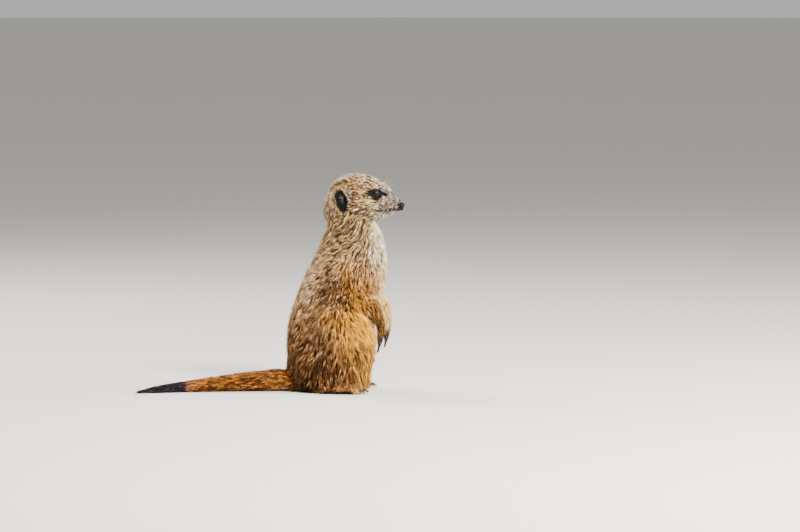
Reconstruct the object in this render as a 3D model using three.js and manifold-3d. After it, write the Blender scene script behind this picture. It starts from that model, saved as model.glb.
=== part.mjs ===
// A life-size meerkat sitting upright on its haunches, modelled out to the tips of its coat.
// Millimetres, +X the way the animal faces, +Y its left side, +Z up, floor at z = 0.
import * as THREE from 'three';
import { ParametricGeometry } from 'three/addons/geometries/ParametricGeometry.js';
import { mergeVertices } from 'three/addons/utils/BufferGeometryUtils.js';
import Module from 'manifold-3d';

const wasm = await Module();
wasm.setup();

// ---------------------------------------------------------------- driving dimensions
const sittingHeight = 245;      // floor to crown
const noseAhead = 146;          // middle of the seat line to the tip of the nose
const tailLength = 192;         // root to tip, along the tail
const hipHalfWidth = 55;        // widest point of the haunches
const headHalfWidth = 25.5;     // at the cheeks
const headLength = 90.5;        // nape to nose
const eyeRadius = 4.7;
const gap = 0.32;               // clearance between neighbouring solids
const flatDepth = 0.7;          // how far each resting surface is pressed flat by the floor
const sliverSize = 0.08;        // slivers left by the cuts and thinner than this are taken out
const originShift = 3.4;        // moves the whole animal so that its box is centred on the origin
const sides = { right: -1, left: 1 };

// ---------------------------------------------------------------- colours of the coat
const colours = {
  grizzled: 0xab8d6a, back: 0x97795a, pale: 0xd9c7a8, cream: 0xe6d6b5, golden: 0xc98f4c,
  grey: 0xb3a596, rufous: 0xa2683a, black: 0x2c2724, nose: 0x1d1a1b, eye: 0x1b120d, claw: 0x2e2825,
};
const roughnessOf = { eye: 0.08, nose: 0.4, claw: 0.35 };
const looks = {};
for (const [name, color] of Object.entries(colours)) {
  looks[name] = { color, roughness: roughnessOf[name] ?? 0.9, metalness: 0 };
}

// ---------------------------------------------------------------- making closed forms
// A merged, outward-facing solid from any closed three.js geometry.
function solid(geometry) {
  const bare = geometry.clone();
  bare.deleteAttribute('normal');
  bare.deleteAttribute('uv');
  const merged = mergeVertices(bare, 1e-4);
  const points = merged.attributes.position.array;
  const index = merged.index.array;
  const kept = [];
  let volume = 0;
  const [a, b, c] = [new THREE.Vector3(), new THREE.Vector3(), new THREE.Vector3()];
  for (let i = 0; i < index.length; i += 3) {
    const [p, q, r] = [index[i], index[i + 1], index[i + 2]];
    if (p === q || q === r || r === p) continue;
    kept.push(p, q, r);
    a.fromArray(points, 3 * p);
    b.fromArray(points, 3 * q);
    c.fromArray(points, 3 * r);
    volume += a.dot(b.cross(c));
  }
  if (volume < 0) kept.reverse();
  return new wasm.Manifold(new wasm.Mesh({
    numProp: 3, vertProperties: Float32Array.from(points), triVerts: Uint32Array.from(kept),
  }));
}

// A limb-like form: ellipses carried along a smooth line through stations and domed at both ends.
// A station is [x, y, z, deep, wide]: its centre and the half sizes of its section. The sections
// stand square to the line, or all face one fixed way. `pear` narrows the upper half of each section,
// and `grow` offsets the whole form outwards.
function limb(stations, options = {}) {
  const { around = 10, along = 6, domeRows = 1, startDome = 0.6, endDome = 0.6 } = options;
  const { facing = null, pear = 0, grow = 0 } = options;
  const line = new THREE.CatmullRomCurve3(stations.map(([x, y, z]) => new THREE.Vector3(x, y, z)));
  const sizes = new THREE.CatmullRomCurve3(stations.map((s) => new THREE.Vector3(s[3], s[4], 0)));
  const rows = along + 2 * domeRows;
  const across = new THREE.Vector3(0, 1, 0);
  function place(u, v, target) {
    const row = v * rows;
    const t = THREE.MathUtils.clamp((row - domeRows) / along, 0, 1);
    const startAngle = Math.max(0, 1 - row / domeRows) * Math.PI / 2;
    const endAngle = Math.max(0, (row - domeRows - along) / domeRows) * Math.PI / 2;
    const ahead = facing ? facing.clone() : line.getTangent(t);
    const wideAxis = across.clone().addScaledVector(ahead, -across.dot(ahead)).normalize();
    const deepAxis = ahead.clone().cross(wideAxis);
    const size = sizes.getPoint(t);
    const [deep, wide] = [size.x + grow, size.y + grow];
    const shrink = Math.cos(startAngle) * Math.cos(endAngle);
    const domed = endDome * Math.sin(endAngle) - startDome * Math.sin(startAngle);
    const turn = 2 * Math.PI * u;
    const narrowing = 1 - pear * Math.sin(turn);
    target.copy(line.getPoint(t))
      .addScaledVector(ahead, domed * Math.min(deep, wide))
      .addScaledVector(deepAxis, deep * shrink * Math.sin(turn))
      .addScaledVector(wideAxis, wide * shrink * narrowing * Math.cos(turn));
  }
  return solid(new ParametricGeometry(place, around, rows));
}

// An egg: a sphere stretched to three half sizes, turned by [x, y, z] angles and put in place.
function egg(centre, halfSizes, turns = [0, 0, 0], segments = 9) {
  const geometry = new THREE.SphereGeometry(1, segments, Math.round(segments * 0.7));
  geometry.scale(...halfSizes);
  geometry.rotateX(turns[0]).rotateY(turns[1]).rotateZ(turns[2]);
  geometry.translate(...centre);
  return solid(geometry);
}

// A block big enough to hold a part of the body, between two corners.
function block(low, high) {
  const size = high.map((value, i) => value - low[i]);
  const middle = high.map((value, i) => (value + low[i]) / 2);
  return solid(new THREE.BoxGeometry(...size).translate(...middle));
}

// Everything on the far side of a plane through `point`, whose sheet leans by `lean` about Y:
// a huge turned slab that starts half a gap beyond the plane.
function beyond(point, lean, away = 1) {
  const reach = 500;
  const slab = new THREE.BoxGeometry(reach, reach, reach);
  slab.translate(away * (reach / 2 + gap / 2), 0, 0).rotateY(lean).translate(...point);
  return solid(slab);
}

const join = (pieces) => pieces.reduce((whole, piece) => whole.add(piece));
const cutBy = (whole, pieces) => pieces.reduce((left, piece) => left.subtract(piece), whole);
const forward = new THREE.Vector3(1, 0, 0);
const upward = new THREE.Vector3(0, 0, 1);
const aboveFloor = block([-400, -200, 0], [400, 200, 400]);

// ---------------------------------------------------------------- trunk and neck
// Level sections from the seat to the inside of the head: [height, back, front, half width].
const trunkLevels = [
  [-2, 32, 92, 29], [10, 17.5, 103, 42.5], [26, 14.2, 107, 45], [46, 13.2, 109.5, 45],
  [66, 13.6, 112, 43.5], [86, 17.2, 114, 41], [104, 23, 119, 38], [122, 30, 125, 34.5],
  [138, 37.5, 125.6, 32], [152, 45, 125, 30.5], [164, 50.5, 124.6, 28.5], [174, 54.4, 121.4, 26],
  [184, 58.6, 117.6, 23.5], [196, 61, 112, 21.5], [206, 63, 104, 19],
];
function trunk(grow = 0) {
  const stations = trunkLevels.map(([height, back, front, halfWidth]) => (
    [(back + front) / 2, 0, height, (front - back) / 2, halfWidth]));
  return limb(stations, {
    facing: upward, around: 18, along: 13, startDome: 0.02, endDome: 0.2, grow,
  });
}

// ---------------------------------------------------------------- head
// Upright sections from the nape to the nose: [x, underside, top, half width].
const headTop = sittingHeight;
const headSections = [
  [noseAhead - headLength + 1.8, 193.4, 215, 10.5], [61.5, 190.5, 228.4, 17], [67, 189, 236.6, 20.8],
  [75, 188, 242.2, 23.6], [84, 187.6, headTop - 0.8, 25], [93, 187.8, headTop, headHalfWidth],
  [102, 188.8, headTop - 1, 24.3], [110, 190.6, headTop - 3.2, 20.8], [117.5, 192.4, 238.2, 16.8],
  [124, 195.8, 234, 13.4], [129.5, 198.6, 227.8, 11], [134, 200.6, 221.4, 9.2],
  [139, 202.8, 216.4, 7.5], [142.6, 204.4, 213.4, 5.6],
];
function skull(grow = 0) {
  const stations = headSections.map(([x, underside, top, halfWidth]) => (
    [x, 0, (underside + top) / 2, (top - underside) / 2, halfWidth]));
  return limb(stations, {
    facing: forward, around: 18, along: 15, startDome: 0.3, endDome: 0.55, pear: 0.1, grow,
  });
}
const eyePlace = [112.7, 13.3, 223.4];
function eyeball(side, grow = 0) {
  const radius = eyeRadius + grow;
  return egg([eyePlace[0], side * eyePlace[1], eyePlace[2]], [radius, radius, radius], [Math.PI / 2, 0, 0], 8);
}
// The open almond between the lids, sunk into the coat round the eye.
function eyeOpening(side) {
  const swing = side * THREE.MathUtils.degToRad(-62);
  return egg([eyePlace[0] + 2, side * (eyePlace[1] + 5.4), eyePlace[2] + 0.4], [2.6, 5, 3.3], [0, 0, swing]);
}
const nosePlace = [noseAhead - 3.4, 0, 210.2];
const nosePad = (grow = 0) => egg(nosePlace, [3.6 + grow, 4.1 + grow, 2.9 + grow], [0, -0.15, 0], 8);

// The ear is a low crescent that stands off the side of the head, hollow at the front.
const earPlace = [75.4, 24, 215.6];
function ear(side, grow = 0) {
  const lean = side * 0.16;
  const centre = [earPlace[0], side * earPlace[1], earPlace[2]];
  const shell = egg(centre, [7.2 + grow, 4 + grow, 13.6 + grow], [lean, 0.12, 0], 12);
  if (grow > 0) return shell;
  const hollow = egg([centre[0] + 3.2, side * (earPlace[1] + 3.6), centre[2] - 1.5], [4.2, 2.6, 7.4], [lean, 0.1, 0]);
  return shell.subtract(hollow);
}

// ---------------------------------------------------------------- arms
// Each arm hangs bent in front of the belly; the left hand reaches a little further than the right.
const armReach = 3.7;          // forward of the mean by the left hand, back by the right
const armLift = 1.5;           // the left hand is held higher than the mean by this
function armLine(side, stations) {
  const shoulder = 84;
  const wrist = 124;
  return stations.map(([x, y, z, deep, wide]) => {
    const share = THREE.MathUtils.clamp((x - shoulder) / (wrist - shoulder), 0, 1);
    return [x + side * armReach * share, side * y, z + side * armLift * share, deep, wide];
  });
}
const shoulderStations = [
  [84, 19, 150, 15, 12], [82, 22.5, 134, 15.5, 12], [84, 25, 118, 14, 10.5], [90, 25.5, 107, 11.5, 9],
];
const forearmStations = [
  [88, 25, 110, 11.5, 9.5], [104, 24, 104, 10.5, 8.6], [116, 21.5, 95.5, 9.2, 7.6],
  [120.9, 19, 85.2, 7.7, 6.4], [122.8, 17, 75, 5.3, 5.2], [122.6, 16, 66, 4, 4.8],
];
const palmStations = [
  [122.5, 15.8, 67.4, 3.7, 4.6], [121.9, 15.2, 62, 3.9, 5.4], [121.2, 14.8, 57.5, 3.2, 5],
];
const upperArm = (side, grow = 0) => limb(armLine(side, shoulderStations), { along: 5, grow });
const forearm = (side, grow = 0) => limb(armLine(side, forearmStations), { along: 8, grow });
const digitNumbers = [0, 1, 2, 3];
const fingerSpread = 2.7;
const fingerLengths = [0.82, 1, 0.96, 0.76];
function fingerLine(side, number) {
  const reach = 6.6 * fingerLengths[number];
  const shift = (number - 1.5) * fingerSpread;
  const [x, y, z] = [121.2 + side * armReach, side * (14.8 - shift), 57.6 + side * armLift];
  return { x, y, z, tipX: x - 1.2, tipY: y - side * shift * 0.25, tipZ: z - reach };
}
function hand(side, grow = 0) {
  const palm = limb(armLine(side, palmStations), { around: 8, along: 3, grow });
  const fingers = digitNumbers.map((number) => {
    const { x, y, z, tipX, tipY, tipZ } = fingerLine(side, number);
    const middle = [x + 0.5, (y + tipY) / 2, (z + tipZ) / 2];
    const thickness = 1.75;
    return limb([[x, y, z, thickness, thickness], [...middle, thickness, thickness],
      [tipX, tipY, tipZ, 1.45, 1.45]], { around: 6, along: 2, grow });
  });
  return join([palm, ...fingers]);
}
// A claw: a short hooked cone from its root, along `out`, bending by `hook`.
function claw(root, out, hook, length, radius) {
  const at = (share) => [0, 1, 2].map((i) => root[i] + length * share * out[i] + share * share * hook[i]);
  return limb([[...at(0), radius, radius * 0.85], [...at(0.5), radius * 0.8, radius * 0.62],
    [...at(1), radius * 0.34, radius * 0.3]], { around: 5, along: 2 });
}
const handClawLength = 5.6;
function handClaw(side, number) {
  const { tipX, tipY, tipZ } = fingerLine(side, number);
  return claw([tipX + 0.3, tipY, tipZ - 0.2], [0.16, 0, -1], [-3, 0, 0.6], handClawLength, 1.05);
}

// ---------------------------------------------------------------- hind legs
// The haunch bulges beside the belly, the shank drops from the knee, the foot lies flat.
const kneeAhead = 114;
const haunchPlace = [76.5, 34.2, 65];
const haunchHalf = [41, hipHalfWidth - 34.2, 33];
const haunchTilt = 0.7;
const shankStations = [
  [kneeAhead - 18, 37, 54, 17, 15.5], [kneeAhead - 18, 37.5, 40, 16.5, 14.5],
  [kneeAhead - 20, 37.5, 26, 16.5, 13.4], [kneeAhead - 23, 37, 14, 17, 12.4],
];
const footStations = [
  [64, 33.5, 6.4, 7.8, 8.4], [76, 35, 6.8, 8.6, 10], [89, 36.5, 6.2, 7.9, 10.8], [99, 37.5, 5, 6.2, 10.6],
];
const mirrored = (side, stations, ahead = 0) => stations.map(([x, y, z, deep, wide]) => (
  [x + ahead, side * y, z, deep, wide]));
// Both feet are drawn back under the knees, the right one further than the left.
const footDrawnBack = 6.5;
const footStagger = 4.5;
const footAhead = (side) => side * footStagger - footDrawnBack;
const ballStation = 99;
function haunch(side, grow = 0) {
  const centre = [haunchPlace[0], side * haunchPlace[1], haunchPlace[2]];
  return egg(centre, haunchHalf.map((size) => size + grow), [0, haunchTilt, 0], 15);
}
const shank = (side, grow = 0) => limb(mirrored(side, shankStations), { around: 12, along: 3, grow });
const toeLengths = [8.6, 11.4, 10.6, 7];
const toeSpread = 5.2;
function toeLine(side, number) {
  const shift = (number - 1.5) * toeSpread;
  const fan = shift * 0.12;
  const ball = ballStation + footAhead(side);
  return {
    x: ball, y: side * (37.5 + shift), tipX: ball + toeLengths[number] - 1, tipY: side * (37.5 + shift + fan),
  };
}
function foot(side, grow = 0) {
  const sole = limb(mirrored(side, footStations, footAhead(side)), { around: 10, along: 4, grow, startDome: 0.7 });
  const toes = digitNumbers.map((number) => {
    const { x, y, tipX, tipY } = toeLine(side, number);
    return limb([[x - 4, y, 4.2, 5, 3.2], [(x + tipX) / 2, (y + tipY) / 2, 3.9, 4.8, 3],
      [tipX, tipY, 3.2, 4, 2.8]], { around: 6, along: 2, grow });
  });
  return join([sole, ...toes]);
}
const footClawLength = 6.5;
function footClaw(side, number) {
  const { tipX, tipY } = toeLine(side, number);
  return claw([tipX + 1.4, tipY, 4.6], [1, 0, 0.05], [-0.4, 0, -3.2], footClawLength, 1.1);
}

// ---------------------------------------------------------------- tail
// The tail lies on the floor behind, swinging gently to the right, and tapers to its tip.
const tailRoot = [30, 0];
const tailThickness = [
  [0, 13.4], [0.1, 13.2], [0.22, 12.2], [0.36, 10.8], [0.52, 8.8], [0.68, 6.8], [0.84, 4.9], [0.985, 2.6],
];
function tailPoint(share) {
  const swing = 34 * share * share;
  return [tailRoot[0] - tailLength * share * (1 - 0.045 * share * share), -swing];
}
function tail(grow = 0) {
  const stations = tailThickness.map(([share, radius]) => {
    const [x, y] = tailPoint(share);
    return [x, y, radius - flatDepth, radius, radius];
  });
  return limb(stations, { around: 12, along: 12, startDome: 0.3, endDome: 0.8, grow });
}

// ---------------------------------------------------------------- parting the body into its pieces
const group = new THREE.Group();
group.position.x = originShift;
function addPart(name, shape, look) {
  const { vertProperties, triVerts } = shape.simplify(sliverSize).getMesh();
  const geometry = new THREE.BufferGeometry();
  geometry.setAttribute('position', new THREE.BufferAttribute(new Float32Array(vertProperties), 3));
  geometry.setIndex(new THREE.BufferAttribute(new Uint32Array(triVerts), 1));
  geometry.computeVertexNormals();
  const mesh = new THREE.Mesh(geometry, new THREE.MeshStandardMaterial({ ...looks[look], name: look }));
  mesh.name = name;
  group.add(mesh);
}

// The head is parted into cranium, muzzle and lower jaw; eyes, ears and nose are their own pieces.
const muzzleCut = { point: [124.5, 0, 215], lean: 0.2 };
const mouthCut = { point: [142, 0, 204.2], lean: Math.PI / 2 - 0.24 };
const jawCorner = 111;
const sockets = [-1, 1].flatMap((side) => [eyeball(side, gap), eyeOpening(side), ear(side, gap)]);
const wholeHead = cutBy(skull(), [...sockets, nosePad(gap)]);
const jawSpace = beyond(mouthCut.point, mouthCut.lean).intersect(block([jawCorner, -60, 150], [200, 60, 260]));
const upperSpace = beyond(mouthCut.point, mouthCut.lean, -1)
  .add(block([-100, -60, 150], [jawCorner - gap, 60, 260]));
const upperHead = wholeHead.intersect(upperSpace);
addPart('head', upperHead.intersect(beyond(muzzleCut.point, muzzleCut.lean, -1)), 'grizzled');
addPart('muzzle', upperHead.intersect(beyond(muzzleCut.point, muzzleCut.lean)), 'grey');
addPart('lower_jaw', wholeHead.intersect(jawSpace), 'pale');
addPart('nose', nosePad(), 'nose');

// Limbs keep their full form; trunk and neck are hollowed round them.
const neckCut = { point: [88, 0, 171], lean: -Math.PI / 2 - 0.16 };
const waistCut = { point: [72, 0, 108], lean: -Math.PI / 2 - 0.08 };
const rumpCut = { point: [62, 0, 52], lean: -Math.PI / 2 + 0.06 };
const limbHollows = [-1, 1].flatMap((side) => [
  upperArm(side, gap), forearm(side, gap), haunch(side, gap), shank(side, gap), foot(side, gap),
]);
const wholeTrunk = cutBy(trunk(), [skull(gap), ...limbHollows]).intersect(aboveFloor);
const slice = (upper, lower) => {
  let piece = wholeTrunk;
  if (upper) piece = piece.intersect(beyond(upper.point, upper.lean, -1));
  if (lower) piece = piece.intersect(beyond(lower.point, lower.lean));
  return piece;
};
addPart('neck', slice(null, neckCut), 'pale');
addPart('chest', slice(neckCut, waistCut), 'grizzled');
addPart('belly', slice(waistCut, rumpCut), 'grizzled');
addPart('rump', slice(rumpCut, null), 'back');

for (const [name, side] of Object.entries(sides)) {
  addPart(`eye_${name}`, eyeball(side), 'eye');
  addPart(`ear_${name}`, ear(side).subtract(trunk(gap)), 'black');
  addPart(`upper_arm_${name}`, upperArm(side), 'grizzled');
  addPart(`forearm_${name}`, forearm(side).subtract(upperArm(side, gap)), 'golden');
  const claws = digitNumbers.map((number) => handClaw(side, number));
  addPart(`hand_${name}`, cutBy(hand(side), [forearm(side, gap)]), 'cream');
  claws.forEach((piece, number) => {
    addPart(`hand_claw_${name}_${number + 1}`, piece.subtract(hand(side, gap)), 'claw');
  });
  const thigh = cutBy(haunch(side), [upperArm(side, gap), forearm(side, gap), hand(side, gap)]);
  addPart(`haunch_${name}`, thigh, 'golden');
  addPart(`shank_${name}`, cutBy(shank(side), [haunch(side, gap), foot(side, gap)]).intersect(aboveFloor), 'golden');
  addPart(`foot_${name}`, foot(side).intersect(aboveFloor), 'cream');
  digitNumbers.forEach((number) => {
    const piece = footClaw(side, number).subtract(foot(side, gap)).intersect(aboveFloor);
    addPart(`foot_claw_${name}_${number + 1}`, piece, 'claw');
  });
}

const tailCuts = [-32, -82].map((x) => ({ point: [x, 0, 0], lean: 0 }));
const wholeTail = cutBy(tail(), [trunk(gap)]).intersect(aboveFloor);
const [rootCut, tipCut] = tailCuts;
addPart('tail_base', wholeTail.intersect(beyond(rootCut.point, rootCut.lean)), 'rufous');
addPart('tail_middle', wholeTail.intersect(beyond(rootCut.point, rootCut.lean, -1))
  .intersect(beyond(tipCut.point, tipCut.lean)), 'rufous');
addPart('tail_tip', wholeTail.intersect(beyond(tipCut.point, tipCut.lean, -1)), 'black');

export default group;
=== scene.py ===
import math

import bpy
import numpy as np
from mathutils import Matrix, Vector


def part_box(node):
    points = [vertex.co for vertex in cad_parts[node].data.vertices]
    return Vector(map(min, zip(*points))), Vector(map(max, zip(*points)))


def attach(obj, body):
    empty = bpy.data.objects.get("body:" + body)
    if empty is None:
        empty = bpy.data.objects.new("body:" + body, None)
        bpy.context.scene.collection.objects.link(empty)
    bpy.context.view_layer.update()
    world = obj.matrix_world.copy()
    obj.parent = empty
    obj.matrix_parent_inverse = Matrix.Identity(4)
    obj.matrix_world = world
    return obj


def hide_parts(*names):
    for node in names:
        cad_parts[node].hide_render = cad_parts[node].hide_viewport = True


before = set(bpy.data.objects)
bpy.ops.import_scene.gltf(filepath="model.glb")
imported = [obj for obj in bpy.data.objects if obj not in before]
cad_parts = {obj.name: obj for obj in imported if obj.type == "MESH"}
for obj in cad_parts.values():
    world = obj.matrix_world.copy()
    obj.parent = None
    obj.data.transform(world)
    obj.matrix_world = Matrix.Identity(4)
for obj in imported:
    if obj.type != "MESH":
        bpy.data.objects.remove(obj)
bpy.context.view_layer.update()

# ------------------------------------------------------------------ studio
# A pale matt floor, an even pale room and three large soft lights, with the camera low on the
# animal's right side and far off, so that it sees almost without perspective.
MM = 0.001
nose_tip = 0.146                                   # the nose stands this far ahead of the seat line
seat_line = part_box("nose")[1].x - nose_tip         # X of the seat line; all places below start there


def placed(points_mm):
    """Points in millimetres from the seat line, turned into metres in the model's frame."""
    return np.asarray(points_mm, float) * MM + (seat_line, 0.0, 0.0)


def linear(hex_colour):
    """An 8-bit display colour as linear light: ((c + 0.055) / 1.055) ** 2.4, or c / 12.92 when dark."""
    c = np.array([(hex_colour >> shift) & 255 for shift in (16, 8, 0)]) / 255
    return np.where(c <= 0.04045, c / 12.92, ((c + 0.055) / 1.055) ** 2.4)


def new_material(name, colour, roughness, specular=0.5):
    """A Principled material with its plain values on the shader's own sockets."""
    material = bpy.data.materials.new(name)
    material.use_nodes = True
    shader = material.node_tree.nodes["Principled BSDF"]
    shader.inputs["Base Color"].default_value = (*linear(colour), 1)
    shader.inputs["Roughness"].default_value = roughness
    shader.inputs["Specular IOR Level"].default_value = specular
    return material, material.node_tree, shader


def noise_between(tree, scale, low, high, detail=3.0):
    """Object-space noise of `scale` waves a metre, mapped from its middle range on to low..high."""
    where = tree.nodes.new("ShaderNodeTexCoord")
    noise = tree.nodes.new("ShaderNodeTexNoise")
    noise.inputs["Scale"].default_value = scale
    noise.inputs["Detail"].default_value = detail
    spread = tree.nodes.new("ShaderNodeMapRange")
    for socket, value in (("From Min", 0.3), ("From Max", 0.7), ("To Min", low), ("To Max", high)):
        spread.inputs[socket].default_value = value
    tree.links.new(where.outputs["Object"], noise.inputs["Vector"])
    tree.links.new(noise.outputs["Fac"], spread.inputs["Value"])
    return spread.outputs["Result"]


def mesh_object(name, points, faces, smooth=True):
    """A mesh object at the origin from an (n, 3) array of points and an (m, k) array of corners."""
    mesh = bpy.data.meshes.new(name)
    faces = np.asarray(faces, np.int32)
    count, corners = faces.shape
    mesh.vertices.add(len(points))
    mesh.vertices.foreach_set("co", np.asarray(points, np.float32).ravel())
    mesh.loops.add(count * corners)
    mesh.loops.foreach_set("vertex_index", faces.ravel())
    mesh.polygons.add(count)
    mesh.polygons.foreach_set("loop_start", np.arange(0, count * corners, corners, dtype=np.int32))
    mesh.polygons.foreach_set("use_smooth", np.full(count, smooth))
    mesh.update(calc_edges=True)
    mesh.validate()
    piece = bpy.data.objects.new(name, mesh)
    bpy.context.scene.collection.objects.link(piece)
    return piece


floor_radius, floor_corners = 30.0, 96
turns = np.linspace(0, 2 * np.pi, floor_corners, endpoint=False)
rim = np.stack([floor_radius * np.cos(turns), floor_radius * np.sin(turns), 0 * turns], 1)
floor = mesh_object("studio_floor", rim, np.arange(floor_corners)[None, :], smooth=False)
floor_look, floor_tree, floor_shader = new_material("pale_floor", 0xD9D6D0, 0.85, 0.2)
floor_tree.links.new(noise_between(floor_tree, 3.0, 0.78, 0.9), floor_shader.inputs["Roughness"])
floor.data.materials.append(floor_look)

world = bpy.data.worlds.new("pale_room")
world.use_nodes = True
world.node_tree.nodes["Background"].inputs["Color"].default_value = (*linear(0xE6E6E6), 1)
world.node_tree.nodes["Background"].inputs["Strength"].default_value = 0.66
bpy.context.scene.world = world


def soft_light(name, place, aim, size, watts, colour):
    """A square area light at `place` that faces `aim`, both in metres."""
    data = bpy.data.lights.new(name, "AREA")
    data.size, data.energy, data.color = size, watts, colour
    lamp = bpy.data.objects.new(name, data)
    lamp.location = place
    lamp.rotation_euler = (Vector(aim) - Vector(place)).to_track_quat("-Z", "Y").to_euler()
    bpy.context.scene.collection.objects.link(lamp)


light_aim = (0.05, 0.0, 0.14)
soft_light("key_light", (0.95, -1.4, 1.3), light_aim, 0.55, 132, (1.0, 0.96, 0.9))
soft_light("front_light", (1.9, -0.2, 0.8), light_aim, 1.2, 74, (1.0, 0.97, 0.93))
soft_light("rim_light", (-1.1, 1.0, 1.5), light_aim, 1.0, 54, (1.0, 0.98, 0.96))

# The frame is 800 by 532 pixels. The animal's seat line stands at SEAT_PIXEL across and the
# floor under it at FLOOR_PIXEL down, at a scale of MM_PER_PIXEL.
IMAGE_WIDTH, IMAGE_HEIGHT = 800, 532
SEAT_PIXEL, FLOOR_PIXEL, MM_PER_PIXEL = 275.0, 391.0, 1.124
camera_distance, camera_elevation = 5.0, math.radians(4.0)
sensor_width = 36.0
camera_data = bpy.data.cameras.new("camera")
camera_data.sensor_width = sensor_width
camera_data.lens = sensor_width * camera_distance / (IMAGE_WIDTH * MM_PER_PIXEL * MM)
camera_data.clip_start, camera_data.clip_end = 0.1, 60.0
camera = bpy.data.objects.new("camera", camera_data)
bpy.context.scene.collection.objects.link(camera)
aim_across = (IMAGE_WIDTH / 2 - SEAT_PIXEL) * MM_PER_PIXEL * MM + seat_line
aim_up = (FLOOR_PIXEL - IMAGE_HEIGHT / 2) * MM_PER_PIXEL * MM / math.cos(camera_elevation)
camera.location = (aim_across, -camera_distance * math.cos(camera_elevation),
                   aim_up + camera_distance * math.sin(camera_elevation))
camera.rotation_euler = (math.pi / 2 - camera_elevation, 0, 0)
bpy.context.scene.camera = camera

# ------------------------------------------------------------------ skin
# One hide over the whole body, from the lips to the tail's tip. The solids give the outline of
# the coat; the hide is their joined surface, smoothed and drawn in by the depth of the hair.
bare = [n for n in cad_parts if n.startswith("eye_") or n == "nose" or "_claw_" in n]
flesh = sorted(set(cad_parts) - set(bare))
# For each part of the body: depth of the coat, length of its hairs and their width, all in mm.
coat_of = {
    "head": (2.6, 6.0, 0.34), "muzzle": (0.8, 2.2, 0.2), "lower_jaw": (0.8, 2.4, 0.22),
    "neck": (3.9, 7.0, 0.44), "chest": (4.4, 7.2, 0.55), "belly": (4.6, 8.8, 0.6),
    "rump": (4.8, 9.2, 0.6), "ear": (0.6, 2.2, 0.24), "upper_arm": (3.4, 8.0, 0.48),
    "forearm": (1.9, 6.0, 0.36), "hand": (0.6, 2.6, 0.24), "haunch": (4.7, 9.2, 0.56),
    "shank": (3.4, 8.5, 0.44), "foot": (0.8, 3.0, 0.27), "tail_base": (3.0, 9.0, 0.42),
    "tail_middle": (2.2, 8.0, 0.38), "tail_tip": (1.4, 6.5, 0.34),
}
kinds = sorted(coat_of)
eye_place, eye_radius = np.array([112.7, 13.3, 223.4]), 4.7
nose_place = np.array([142.3, 0.0, 209.5])


def kind_of(node):
    """A node's part of the body, without its side; the eyes' sockets belong to the head."""
    return "head" if node.startswith("eye_") else node.replace("_right", "").replace("_left", "")


def on_part(share, *names):
    """How far each point is on the named parts of the body: the sum of their columns, 0 to 1."""
    return sum(share[:, kinds.index(name)] for name in names)


def corner_arrays(node):
    """A node's merged points in mm from the seat line and its triangles, as two arrays."""
    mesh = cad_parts[node].data
    mesh.calc_loop_triangles()
    co = np.empty(len(mesh.vertices) * 3, np.float32)
    mesh.vertices.foreach_get("co", co)
    tri = np.empty(len(mesh.loop_triangles) * 3, np.int32)
    mesh.loop_triangles.foreach_get("vertices", tri)
    points = (co.reshape(-1, 3) - (seat_line, 0, 0)) / MM
    merged, index = np.unique(np.round(points, 3), axis=0, return_inverse=True)
    return merged, index.ravel()[tri].reshape(-1, 3)


def summed_at(index, values, count):
    """Sums the rows of `values` that share an index."""
    return np.stack([np.bincount(index, column, count) for column in values.T], 1)


def unit(vectors):
    """Each row scaled to length one."""
    return vectors / np.maximum(np.linalg.norm(vectors, axis=-1, keepdims=True), 1e-12)


def point_normals(points, faces):
    """The mean of the normals of the triangles round each point, weighted by their areas."""
    a, b, c = points[faces[:, 0]], points[faces[:, 1]], points[faces[:, 2]]
    corners = np.repeat(np.cross(b - a, c - a), 3, 0)
    return unit(summed_at(faces.ravel(), corners, len(points)))


def ramp(value, start, end):
    """0 at start, 1 at end, and between them the smooth step 3t^2 - 2t^3."""
    t = np.clip((value - start) / (end - start), 0, 1)
    return t * t * (3 - 2 * t)


def largest_shell(points, faces):
    """Keeps the largest connected surface: the lowest label spreads until none changes."""
    label = np.arange(len(points))
    while True:
        spread = label.copy()
        np.minimum.at(spread, faces.ravel(), np.repeat(label[faces].min(1), 3))
        spread = spread[spread]
        if (spread == label).all():
            break
        label = spread
    kept = label == np.bincount(label).argmax()
    return points[kept], (np.cumsum(kept) - 1)[faces[kept[faces[:, 0]]]]


def refined(points, faces, chosen):
    """Splits each chosen triangle in four at the middles of its edges, and its neighbours to match."""
    following = np.roll(faces, -1, 1)
    key = np.minimum(faces, following).astype(np.int64) * len(points) + np.maximum(faces, following)
    keys, index = np.unique(key.ravel(), return_inverse=True)
    index = index.reshape(-1, 3)
    split = np.zeros(len(keys), bool)
    split[index[chosen]] = True
    middle = len(points) + np.cumsum(split) - 1
    ends = np.stack([keys // len(points), keys % len(points)], 1)[split]
    marked = split[index]
    count = marked.sum(1)
    turn = np.where(count == 1, marked.argmax(1), np.where(count == 2, marked.argmin(1) + 1, 0))
    order = (np.arange(3) + turn[:, None]) % 3
    a, b, c = np.take_along_axis(faces, order, 1).T
    ab, bc, ca = np.take_along_axis(middle[index], order, 1).T
    cuts = {
        0: [(a, b, c)],
        1: [(a, ab, c), (ab, b, c)],
        2: [(b, bc, ab), (a, ab, bc), (a, bc, c)],
        3: [(a, ab, ca), (b, bc, ab), (c, ca, bc), (ab, bc, ca)],
    }
    parts = [np.stack(corner, 1)[count == n] for n, group in cuts.items() for corner in group]
    return np.vstack([points, points[ends].mean(1)]), np.vstack(parts)


def neighbours(points, faces):
    """Both directions of each edge, and how many neighbours each point has."""
    pairs = np.vstack([faces[:, [0, 1]], faces[:, [1, 2]], faces[:, [2, 0]]])
    return pairs, np.bincount(pairs[:, 0], minlength=len(points))[:, None]


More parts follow.
